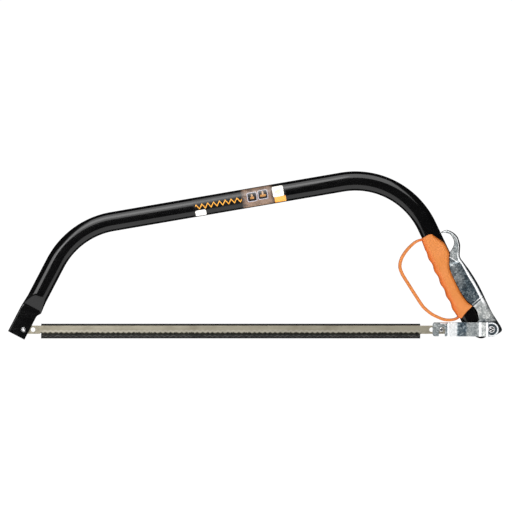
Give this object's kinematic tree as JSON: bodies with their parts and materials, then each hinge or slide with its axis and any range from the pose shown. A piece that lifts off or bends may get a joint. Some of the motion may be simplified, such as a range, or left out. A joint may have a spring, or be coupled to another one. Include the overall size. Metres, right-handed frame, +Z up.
{
  "type": "bow saw",
  "caption": "Bow saw with an oval tube bow, a moulded grip with knuckle guard, a folding tensioning lever and link, and a blade under a clip-on tooth guard.",
  "frame": {"origin": "bottom centre of the bounding box, on the ground under the middle of the saw", "axes": "+X along the blade from the front foot to the lever, +Z up with the teeth down, +Y across the saw to its far side"},
  "size_m": [0.7176, 0.031, 0.2445],
  "materials": {
    "bow_enamel": "gloss black enamel",
    "label_film": "printed film",
    "grip_plastic": "fine moulded texture, orange",
    "lever_zinc": "galvanised sheet, spangled",
    "link_zinc": "galvanised sheet",
    "rivet_steel": "zinc plated",
    "pin_steel": "bright",
    "blade_steel": "lacquered against rust, olive tan",
    "guard_plastic": "black polypropylene"
  },
  "bodies": {
    "frame": {"frame_tube": "bow_enamel", "frame_label": "label_film", "hand_grip": "grip_plastic", "fulcrum_rivet": "rivet_steel", "front_blade_pin": "pin_steel"},
    "lever": {"tension_lever": "lever_zinc", "link_rivet_near": "rivet_steel", "link_rivet_far": "rivet_steel"},
    "link": {"blade_link": "link_zinc"},
    "blade": {"saw_blade": "blade_steel", "rear_blade_pin": "pin_steel"},
    "guard": {"blade_guard": "guard_plastic"}
  },
  "joints": [
    {"name": "lever_hinge", "type": "hinge", "parent": "frame", "child": "lever", "pos_m": [0.32839, 0, 0.01416], "axis": [0, 1, 0], "range_deg": [0, 90]},
    {"name": "link_hinge", "type": "hinge", "parent": "lever", "child": "link", "pos_m": [0.34309, 0, 0.01506], "axis": [0, 1, 0], "range_deg": [-118, 0]},
    {"name": "blade_hinge", "type": "hinge", "parent": "frame", "child": "blade", "pos_m": [-0.33621, 0, 0.01456], "axis": [0, 1, 0], "range_deg": [0, 5.3]},
    {"name": "guard_pull", "type": "slide", "parent": "blade", "child": "guard", "axis": [0, 0, -1], "range_m": [0, 0.03]}
  ],
  "couplings": [
    {"joint": "link_hinge", "follows": "lever_hinge", "ratio": -1.3038},
    {"joint": "blade_hinge", "follows": "lever_hinge", "ratio": 0.0579}
  ]
}
